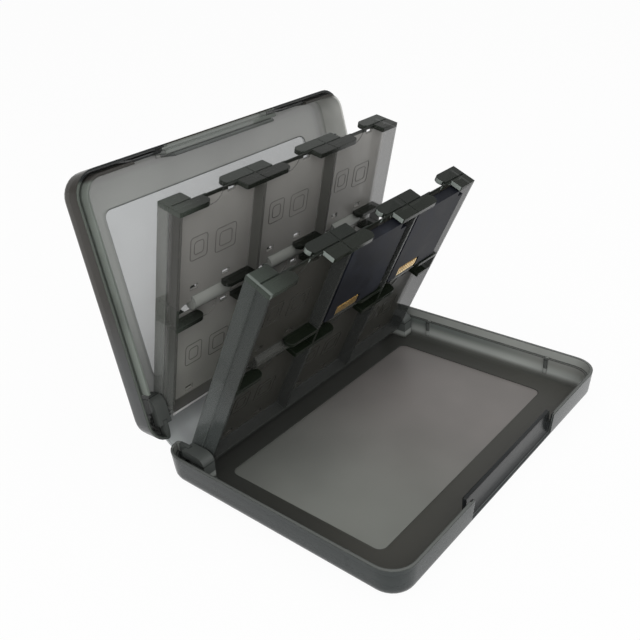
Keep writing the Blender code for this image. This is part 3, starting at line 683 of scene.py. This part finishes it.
def smoke_page(name, plane, tones):
    """Smoke-tinted page: satin webs, glossier ribs and caps, end walls in two tones, behind and before, and
    painted light and glints.
    """
    finish = Finish(name)
    point = own_axes(finish, plane)
    x, v, w = finish.parts(point)
    area = page_areas(finish, x, v, w)
    flow = finish.noise(point, PAGE_FLOW_SCALE)
    drift = flow - FLOW_MIDDLE
    soft = finish.rounded(PAGE_EDGE)
    rim = finish.rim(soft)
    flow_share = PAGE_FLOW_SHARE - area.arms * ARM_FLOW_SHARE
    # A dark seam on the end walls, and painted shade along the rounded edges, weaker on the arms
    line_shade = area.seam * SEAM_SHARE + rim * (EDGE_SHADE - area.arms * ARM_EDGE_LIGHT)
    color = finish.layers(
        page_tint(finish, x, v, area, tones),
        (finish.ramp(flow, *FLOW_ZONE) * flow_share, tones["flow"]),
        (finish.least(line_shade, 1.0), EDGE_SHADE_COLOR),
    )
    finish.feed("Base Color", color)
    body = tones["rib_cover"] + area.web * (tones["web_cover"] - tones["rib_cover"])
    cover = body + area.arms * (tones["arm_cover"] - body) + area.outer_rib * (tones["outer_cover"] - body)
    cover = cover + rim * PAGE_EDGE_COVER - area.far_end * FAR_END_CLEARING
    finish.feed("Alpha", finish.least(cover + drift * FLOW_COVER, 1.0))
    satin = PAGE_ROUGHNESS + area.web * WEB_ROUGHNESS + rim * PAGE_EDGE_ROUGHNESS
    finish.feed("Roughness", satin + drift * PAGE_FLOW_ROUGHNESS)
    grain = finish.noise(point, PAGE_GRAIN_SCALE, GRAIN_DETAIL)
    height = grain * (RIB_GRAIN_SHARE + area.web * WEB_GRAIN_SHARE)
    finish.feed("Normal", finish.relief(height, PAGE_GRAIN_HEIGHT, soft))
    finish.plastic_gloss(tones["gloss"])
    return finish.material


def plain_smoke(name, tone, cover, roughness, edge=PAGE_EDGE, front_tone=None):
    """Smoke plastic of one tint, with faint flow clouds and a fine grain, for the small pieces.

    A front tone, a painted shade, takes its place towards the lid's front.
    """
    finish = Finish(name)
    place = finish.place()
    flow = finish.noise(place, PLAIN_FLOW_SCALE)
    soft = finish.rounded(edge)
    rim = finish.rim(soft)
    light_tone = tuple(min(1.0, part * PLAIN_FLOW_LIGHT) for part in tone)
    tint = finish.blend(finish.ramp(flow, *PLAIN_FLOW_ZONE), tone, light_tone)
    if front_tone:
        y = finish.parts(own_axes(finish, lid_plane, True))[1]
        tint = finish.blend(finish.ramp(y, *LIP_FRONT_SHADE_ZONE), tint, front_tone)
    # Painted shade along the rounded edges
    finish.feed("Base Color", finish.blend(rim * EDGE_SHADE, tint, EDGE_SHADE_COLOR))
    finish.feed("Roughness", roughness + (flow - FLOW_MIDDLE) * PLAIN_FLOW_ROUGHNESS)
    finish.feed("Normal", finish.relief(finish.noise(place, PLAIN_GRAIN_SCALE), PLAIN_GRAIN_HEIGHT, soft))
    finish.feed("Alpha", finish.least(cover + rim * PLAIN_EDGE_COVER, 1.0))
    finish.plastic_gloss(PLAIN_GLOSS)
    return finish.material


def card_plastic():
    """Black card moulding: spark-eroded grain, a slightly worn sheen and faint blue in its tint."""
    finish = Finish("card_black_grain")
    place = finish.place()
    cells = finish.node("ShaderNodeTexVoronoi", None, {"Vector": place, "Scale": CARD_CELL_SCALE})
    wear = finish.noise(place, CARD_WEAR_SCALE, CARD_WEAR_DETAIL)
    worn = finish.ramp(wear, *CARD_WEAR_ZONE)
    finish.feed("Base Color", finish.blend(worn, CARD_TONE, CARD_WORN_TONE))
    finish.feed("Roughness", CARD_ROUGHNESS + wear * CARD_WEAR_ROUGHNESS)
    finish.feed("Normal", finish.relief(cells, CARD_CELL_HEIGHT, finish.rounded(CARD_EDGE)))
    finish.feed("Specular IOR Level", CARD_GLOSS)
    return finish.material


def contact_metal():
    """Gold-plated contacts: brushed along their length, a little duller in patches."""
    finish = Finish("contact_gold_brushed")
    place = finish.place()
    stretched = finish.node("ShaderNodeMapping", None, {"Vector": place, "Scale": BRUSH_SCALE})
    tarnish = finish.noise(place, TARNISH_SCALE)
    dull = finish.ramp(tarnish, *TARNISH_ZONE)
    finish.feed("Base Color", finish.blend(dull, GOLD_TONE, GOLD_DULL_TONE))
    finish.feed("Roughness", GOLD_ROUGHNESS + tarnish * TARNISH_ROUGHNESS)
    brush = finish.noise(stretched, 1.0)
    finish.feed("Normal", finish.relief(brush, BRUSH_HEIGHT, finish.rounded(CONTACT_EDGE)))
    finish.feed("Metallic", 1.0)
    return finish.material


def surface(name, points, faces, material, body):
    """Make a piece from a point array and a face list, which rides on a body, or on none where it bends."""
    mesh = bpy.data.meshes.new(name)
    mesh.from_pydata(points.reshape(-1, 3).tolist(), [], faces)
    mesh.materials.append(material)
    mesh.shade_smooth()
    piece = bpy.data.objects.new(name, mesh)
    bpy.context.scene.collection.objects.link(piece)
    if body:
        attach(piece, body)
    return piece


def ring_quads(rings, sides, closed=False):
    """Quads from each ring of a carried section to the next; a closed path's last ring meets its first."""
    ring, side = np.meshgrid(np.arange(rings if closed else rings - 1), np.arange(sides), indexing="ij")
    next_ring, next_side = (ring + 1) % rings, (side + 1) % sides
    corners = ((ring, side), (ring, next_side), (next_ring, next_side), (next_ring, side))
    return np.stack([a * sides + b for a, b in corners], axis=-1).reshape(-1, 4)


def capped_quads(rings, sides):
    """An open path's quads, with a cap on its first and its last ring."""
    caps = [list(range(sides))[::-1], list(range((rings - 1) * sides, rings * sides))]
    return ring_quads(rings, sides).tolist() + caps


def mark_loop(low, high, corner):
    """A rounded rectangle's points and outward normals: four quarter circles about its corner centres."""
    step = np.linspace(0.0, math.pi / 2, MARK_CORNER_STEPS + 1)
    angles = np.concatenate([step + math.pi / 2 * quarter for quarter in range(4)])
    sides = np.repeat([[1, 1], [-1, 1], [-1, -1], [1, -1]], MARK_CORNER_STEPS + 1, axis=0)
    middle = (np.array(low) + np.array(high)) / 2
    half = (np.array(high) - np.array(low)) / 2 - corner
    normals = np.stack([np.cos(angles), np.sin(angles)], axis=-1)
    return middle + sides * half + normals * corner, normals


def mark_outlines():
    """Each mark's face, 1 for the front and -1 for the back, and its low and high corner on the page."""
    outlines = []
    for column in (-1, 0, 1):
        middle = column * BAY_PITCH
        for foot in ROW_FEET:
            for left, right, low, high in MARK_SQUARES:
                outlines.append((1, (middle + left, foot + low), (middle + right, foot + high)))
                outlines.append((-1, (middle - right, foot + low), (middle - left, foot + high)))
    return outlines


def page_marks(name, plane, material, body):
    """Raised outlines in every bay, half sunk in the web.

    An ellipse, MARK_HALF_WIDTH along the outline's normal and MARK_RISE out of the web, is carried round
    each rounded square.
    """
    turn = np.arange(MARK_SIDES) * 2 * math.pi / MARK_SIDES
    points, faces, count = [], [], 0
    for face, low, high in mark_outlines():
        path, normals = mark_loop(low, high, MARK_CORNER)
        out = path[:, None, :] + normals[:, None, :] * (np.cos(turn) * MARK_HALF_WIDTH)[None, :, None]
        rise = face * (HALF_WEB + MARK_RISE * np.sin(turn))
        points.append(plane.at(out[..., 0], out[..., 1], rise).reshape(-1, 3))
        quads = ring_quads(len(path), MARK_SIDES, closed=True)[:, ::face]
        faces += (count + quads).tolist()
        count += len(path) * MARK_SIDES
    return surface(name, np.concatenate(points), faces, material, body)


def lip_path(side):
    """One side's path over the lid and its outward normals: the side, a quarter circle, the front."""
    radius = SHELL_CORNER - LIP_INSET
    middle = (HALF_WIDTH - SHELL_CORNER, -HALF_DEPTH + SHELL_CORNER)
    turn = -np.linspace(0.0, math.pi / 2, LIP_CORNER_STEPS + 1)
    corner = np.stack([middle[0] + radius * np.cos(turn), middle[1] + radius * np.sin(turn)], axis=-1)
    start, end = [HALF_WIDTH - LIP_INSET, LIP_BACK_Y], [LIP_FRONT_X, -HALF_DEPTH + LIP_INSET]
    path = np.concatenate([[start], corner, [end]])
    out = np.stack([np.cos(turn), np.sin(turn)], axis=-1)
    normals = np.concatenate([[[1.0, 0.0]], out, [[0.0, -1.0]]])
    return path * [side, 1.0], normals * [side, 1.0]


def lip_section():
    """The lip's section, outward and up: straight sides, and a quarter circle at each edge of its top."""
    turn = np.linspace(0.0, math.pi / 2, LIP_ROUND_STEPS + 1)
    flat, top = LIP_HALF_THICK - LIP_ROUND, LIP_TOP - LIP_ROUND
    round_out = np.stack([flat + LIP_ROUND * np.cos(turn), top + LIP_ROUND * np.sin(turn)], axis=-1)
    foot = np.array([[LIP_HALF_THICK, LIP_LOW]])
    return np.concatenate([foot, round_out, round_out[::-1] * [-1, 1], foot * [-1, 1]])


def lid_lip(name, side, material):
    """A lip inside the lid's rim: its section, carried along one side's path with a cap on each end."""
    section = lip_section()
    path, normals = lip_path(side)
    spot = path[:, None, :] + normals[:, None, :] * section[None, :, :1]
    height = np.broadcast_to(section[:, 1], spot.shape[:2])
    points = lid_plane.at(spot[..., 0], HINGE_Y - spot[..., 1], height - FILM_Z)
    faces = [face[::-side] for face in capped_quads(*height.shape)]
    piece = surface(name, points, faces, material, "lid")
    piece.data.set_sharp_from_angle(angle=math.radians(EDGE_ANGLE))
    return piece


def film_strip(name, before, after, material):
    """A film hinge: a flat strip whose heading turns from one plane's to the next over its middle half.

    The turn is the smooth step 3t^2 - 2t^3, and the strip's line is the running sum of short steps along
    that heading, moved so that its middle lies on the axis.
    """
    along = np.linspace(-FILM_REACH, FILM_REACH, FILM_STEPS + 1)
    share = np.clip(along / FILM_REACH + 0.5, 0.0, 1.0)
    heading = before.turn + (after.turn - before.turn) * share * share * (3 - 2 * share)
    step = FILM_REACH * 2 / FILM_STEPS
    middle = (heading[1:] + heading[:-1]) / 2
    y = np.concatenate([[0.0], np.cumsum(np.cos(middle) * step)])
    z = np.concatenate([[0.0], np.cumsum(np.sin(middle) * step)])
    centre = FILM_STEPS // 2
    y, z = y - y[centre] + after.y, z - z[centre] + after.z
    line = np.stack([y, z], axis=-1)
    upward = np.stack([-np.sin(heading), np.cos(heading)], axis=-1) * FILM_HALF_THICK
    outline = np.concatenate([line + upward, (line - upward)[::-1]])
    sides = len(outline)
    ends = [np.column_stack([np.full(sides, x), outline]) for x in (-FILM_HALF_LENGTH, FILM_HALF_LENGTH)]
    piece = surface(name, np.concatenate(ends), capped_quads(2, sides), material, None)
    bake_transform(piece)
    return piece


def smooth_copy(node, material):
    """The CAD node's own surface with its loose triangles merged, so that its rounds shade smoothly."""
    source = frame["nodes"][node]
    mesh = source.data.copy()
    mesh.name = node + "_finished"
    if "custom_normal" in mesh.attributes:
        mesh.attributes.remove(mesh.attributes["custom_normal"])
    work = bmesh.new()
    work.from_mesh(mesh)
    bmesh.ops.remove_doubles(work, verts=work.verts, dist=MERGE_GAP)
    bmesh.ops.dissolve_limit(work, angle_limit=math.radians(FLAT_ANGLE), verts=work.verts, edges=work.edges)
    work.to_mesh(mesh)
    work.free()
    mesh.shade_smooth()
    mesh.set_sharp_from_angle(angle=math.radians(EDGE_ANGLE))
    mesh.materials.clear()
    mesh.materials.append(material)
    piece = bpy.data.objects.new(node + "_finished", mesh)
    bpy.context.scene.collection.objects.link(piece)
    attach(piece, source["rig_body"])
    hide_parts(node)
    return piece


def finish_node(node, material):
    """Give a carried CAD node a finished material."""
    for slot in frame["nodes"][node].material_slots:
        slot.material = material


# Tones of the base: each area's colour, its cover (how much of what lies behind it is hidden) and strengths:
# of the window's line, of the painted shade towards the hinge, of the window's sheen and of the mirror
# gloss. The inner walls' lighter tones low and at the front, the floor's tones to the left and front and the
# dark scoop are painted light and shade
base_tones = {
    "wall": (0.028, 0.034, 0.034),
    "wall_cover": 0.85,
    "wall_back": (0.028, 0.033, 0.033),
    "inner_high": (0.160, 0.180, 0.166),
    "inner_front_lit": (0.270, 0.275, 0.255),
    "inner_low_lit": (0.400, 0.420, 0.395),
    "inner_cover": 0.90,
    "rim": (0.380, 0.395, 0.370),
    "rim_top": (0.130, 0.138, 0.130),
    "rib": (0.085, 0.093, 0.088),
    "scoop": (0.014, 0.016, 0.017),
    "floor": (0.044, 0.044, 0.038),
    "floor_cover": 0.94,
    "floor_left_shade_and_light": (0.038, 0.038, 0.033),
    "floor_front_lit": (0.076, 0.074, 0.065),
    "floor_edge": (0.062, 0.064, 0.056),
    "clear": (0.226, 0.208, 0.196),
    "clear_cover": 0.82,
    "clear_left": (0.203, 0.212, 0.190),
    "flow": (0.07, 0.072, 0.068),
    "line": 0.2,
    "hinge_shade": 0.46,
    "window_gloss": 0.08,
    "gloss": 0.25,
}

# The lid, which also has a painted shade on its upper front
lid_tones = {
    "wall": (0.024, 0.021, 0.016),
    "wall_cover": 0.95,
    "wall_back": (0.048, 0.051, 0.052),
    # painted shade on the upper front
    "front": (0.008, 0.009, 0.012),
    "inner_high": (0.300, 0.305, 0.290),
    "inner_front_lit": (0.320, 0.325, 0.305),
    "inner_low_lit": (0.420, 0.430, 0.405),
    "inner_cover": 0.80,
    "rim": (0.118, 0.132, 0.117),
    "rim_top": (0.108, 0.122, 0.107),
    "rib": (0.080, 0.088, 0.083),
    "scoop": (0.130, 0.145, 0.130),
    "floor": (0.240, 0.236, 0.222),
    "floor_cover": 0.62,
    "floor_left_shade_and_light": (0.290, 0.315, 0.285),
    "floor_front_lit": (0.285, 0.298, 0.275),
    "floor_edge": (0.230, 0.235, 0.220),
    "clear": (0.215, 0.236, 0.242),
    "clear_cover": 0.44,
    "clear_left": (0.370, 0.400, 0.405),
    "flow": (0.17, 0.17, 0.16),
    "line": 0.4,
    "hinge_shade": 0.58,
    "window_gloss": 0.26,
    "gloss": 0.09,
}

# The pages: left_low_share carries the left arms' painted light down to the lower arms, and the strip's
# share is how far the tips' painted glint lies on the left end. The lower web, the lower end walls and the
# barrel are painted light, and the foot a painted highlight
rear_tones = {
    "rib": (0.088, 0.088, 0.080),
    "rib_cover": 0.84,
    "web": (0.270, 0.263, 0.246),
    "web_cover": 0.84,
    "web_low_lit": (0.410, 0.410, 0.375),
    "arm": (0.010, 0.012, 0.009),
    "arm_cover": 0.92,
    "arm_back": (0.026, 0.031, 0.026),
    "arm_left_lit": (0.042, 0.050, 0.041),
    "left_low_share": 1.0,
    "glint_strip_share": 0.0,
    "barrel": (0.330, 0.340, 0.316),
    "tip": (0.024, 0.028, 0.023),
    "end_back": (0.140, 0.146, 0.132),
    "end_front": (0.040, 0.040, 0.035),
    "end_low_lit": (0.420, 0.450, 0.430),
    "foot": (0.850, 0.850, 0.850),
    "outer_cover": 0.64,
    "flow": (0.10, 0.10, 0.092),
    "gloss": 0.25,
}
# The front page: the same plastic as the rear page, in darker tones that are painted shade, with a stronger
# painted glint on its tips
front_tones = {
    "rib": (0.040, 0.042, 0.040),
    "rib_cover": 0.80,
    "web": (0.032, 0.031, 0.026),
    "web_cover": 0.88,
    "web_low_lit": (0.045, 0.044, 0.038),
    "arm": (0.007, 0.010, 0.006),
    "arm_cover": 0.94,
    "arm_back": (0.008, 0.011, 0.008),
    "arm_left_lit": (0.034, 0.044, 0.035),
    "left_low_share": 0.0,
    "glint_strip_share": 0.45,
    "barrel": (0.050, 0.051, 0.046),
    "tip": (0.240, 0.270, 0.250),
    "end_back": (0.056, 0.064, 0.060),
    "end_front": (0.040, 0.046, 0.043),
    "end_low_lit": (0.160, 0.178, 0.178),
    "foot": (0.070, 0.072, 0.066),
    "outer_cover": 0.72,
    "flow": (0.045, 0.046, 0.042),
    "gloss": 0.20,
}

# The CAD nodes in their finish; the pins and contacts keep their own mesh
smooth_copy("base_shell", smoke_shell("smoke_base", base_plane, False, base_tones))
smooth_copy("lid_shell", smoke_shell("smoke_lid", lid_plane, True, lid_tones))
spine_smoke = plain_smoke("smoke_spine", (0.32, 0.34, 0.34), cover=0.82, roughness=0.22)
smooth_copy("spine_panel", spine_smoke)
smooth_copy("rear_page", smoke_page("smoke_rear_page", rear_plane, rear_tones))
smooth_copy("front_page", smoke_page("smoke_front_page", front_plane, front_tones))
black, gold = card_plastic(), contact_metal()
for number in (1, 2):
    smooth_copy(f"game_card_{number}", black)
    finish_node(f"card_contacts_{number}", gold)
pin_smoke = plain_smoke("smoke_pin", (0.05, 0.055, 0.05), cover=0.85, roughness=0.25)
for page in ("rear_page", "front_page"):
    for side in ("left", "right"):
        finish_node(f"{page}_pin_{side}", pin_smoke)

# The pieces that only the scene has: marks in the bays, the lid's lip and the film hinges
mark_finish = {"cover": 0.9, "roughness": 0.3, "edge": MARK_EDGE}
rear_mark = plain_smoke("smoke_rear_mark", (0.120, 0.118, 0.109), **mark_finish)
# The front page's marks are darker: painted shade, as on the front page
front_mark = plain_smoke("smoke_front_mark", (0.022, 0.022, 0.018), **mark_finish)
page_marks("rear_page_marks", rear_plane, rear_mark, "rear_leaf")
page_marks("front_page_marks", front_plane, front_mark, "front_leaf")
lip_finish = {"roughness": 0.3, "edge": LIP_EDGE, "front_tone": LIP_FRONT_SHADE_TONE}
# The two lips are one plastic in a lit and a shaded tone: the right one painted lighter, the left one darker
left_lip = plain_smoke("smoke_lip_left", (0.130, 0.145, 0.129), cover=0.88, **lip_finish)
right_lip = plain_smoke("smoke_lip_right", (0.480, 0.485, 0.460), cover=0.84, **lip_finish)
lid_lip("lid_lip_left", -1, left_lip)
lid_lip("lid_lip_right", 1, right_lip)
film_smoke = plain_smoke("smoke_film", (0.10, 0.105, 0.10), cover=0.85, roughness=0.3)
film_strip("base_film", Plane(HINGE_Y, FILM_Z, 0.0), spine_plane, film_smoke)
film_strip("lid_film", spine_plane, lid_plane, film_smoke)


def studio_floor():
    """A pale floor: part plain white, part even glow for camera and gloss, so that shadows stay."""
    far, z = FLOOR_HALF, -FLOOR_DROP
    mesh = bpy.data.meshes.new("floor")
    mesh.from_pydata([(-far, -far, z), (far, -far, z), (far, far, z), (-far, far, z)], [], [(0, 1, 2, 3)])
    finish = Finish("floor_white")
    finish.feed("Base Color", (FLOOR_SHADE, FLOOR_SHADE, FLOOR_SHADE))
    finish.feed("Roughness", FLOOR_ROUGH)
    share = finish.rays("Is Camera Ray", "Is Glossy Ray", "Is Transmission Ray") * FLOOR_GLOW_SHARE
    glow = finish.node("ShaderNodeEmission", None, {"Color": WHITE, "Strength": 1.0})
    plain = Wire(finish, finish.shader.outputs["BSDF"])
    mixed = finish.node("ShaderNodeMixShader", None, {0: share, 1: plain, 2: glow})
    finish.join(finish.tree.nodes["Material Output"].inputs["Surface"], mixed)
    mesh.materials.append(finish.material)
    floor = bpy.data.objects.new("floor", mesh)
    bpy.context.scene.collection.objects.link(floor)


def studio_light():
    """Even pale surroundings that look white, and soft panels aimed at the case."""
    world = bpy.data.worlds.new("studio")
    bpy.context.scene.world = world
    world.use_nodes = True
    nodes = Nodes(world.node_tree)
    seen = nodes.rays("Is Camera Ray", "Is Transmission Ray")
    shades = {"Value": seen, "To Min": WORLD_SHADE, "To Max": 1.0}
    background = nodes.tree.nodes["Background"]
    nodes.join(background.inputs["Strength"], nodes.node("ShaderNodeMapRange", None, shades))
    nodes.join(background.inputs["Color"], WHITE)
    for name, place, size, power in PANELS:
        light = bpy.data.lights.new(name, "AREA")
        light.shape = "SQUARE"
        light.size = size
        light.energy = power
        lamp = bpy.data.objects.new(name, light)
        bpy.context.scene.collection.objects.link(lamp)
        lamp.location = place
        lamp.rotation_mode = "QUATERNION"
        lamp.rotation_quaternion = (Vector(AIM) - Vector(place)).to_track_quat("-Z", "Y")


def photo_camera():
    """The camera that the photograph's own edges and corners fix: turn, drop, roll, focal length, shift."""
    turn, drop, roll = (math.radians(angle) for angle in (CAMERA_TURN, CAMERA_DROP, CAMERA_ROLL))
    look = Vector((-math.sin(turn) * math.cos(drop), math.cos(turn) * math.cos(drop), -math.sin(drop)))
    right = Vector((math.cos(turn), math.sin(turn), 0.0))
    up = right.cross(look)
    rolled_right = right * math.cos(roll) + up * math.sin(roll)
    rolled_up = -right * math.sin(roll) + up * math.cos(roll)
    target = Vector((0.0, 0.0, CAMERA_TARGET_Z))
    place = target - look * CAMERA_AWAY + rolled_right * CAMERA_SIDE + rolled_up * CAMERA_LIFT
    data = bpy.data.cameras.new("photo_camera")
    data.sensor_width = SENSOR
    data.lens = FOCAL_PIXELS * SENSOR / FRAME_PIXELS
    data.shift_x = (FRAME_PIXELS / 2 - MIDDLE_PIXEL[0]) / FRAME_PIXELS
    data.shift_y = (MIDDLE_PIXEL[1] - FRAME_PIXELS / 2) / FRAME_PIXELS
    camera = bpy.data.objects.new("photo_camera", data)
    bpy.context.scene.collection.objects.link(camera)
    matrix = Matrix.Identity(4)
    for row in range(3):
        matrix[row][0], matrix[row][1] = rolled_right[row], rolled_up[row]
        matrix[row][2], matrix[row][3] = -look[row], place[row]
    camera.matrix_world = matrix
    bpy.context.scene.camera = camera


studio_floor()
studio_light()
photo_camera()
bpy.context.scene.view_settings.view_transform = "Standard"
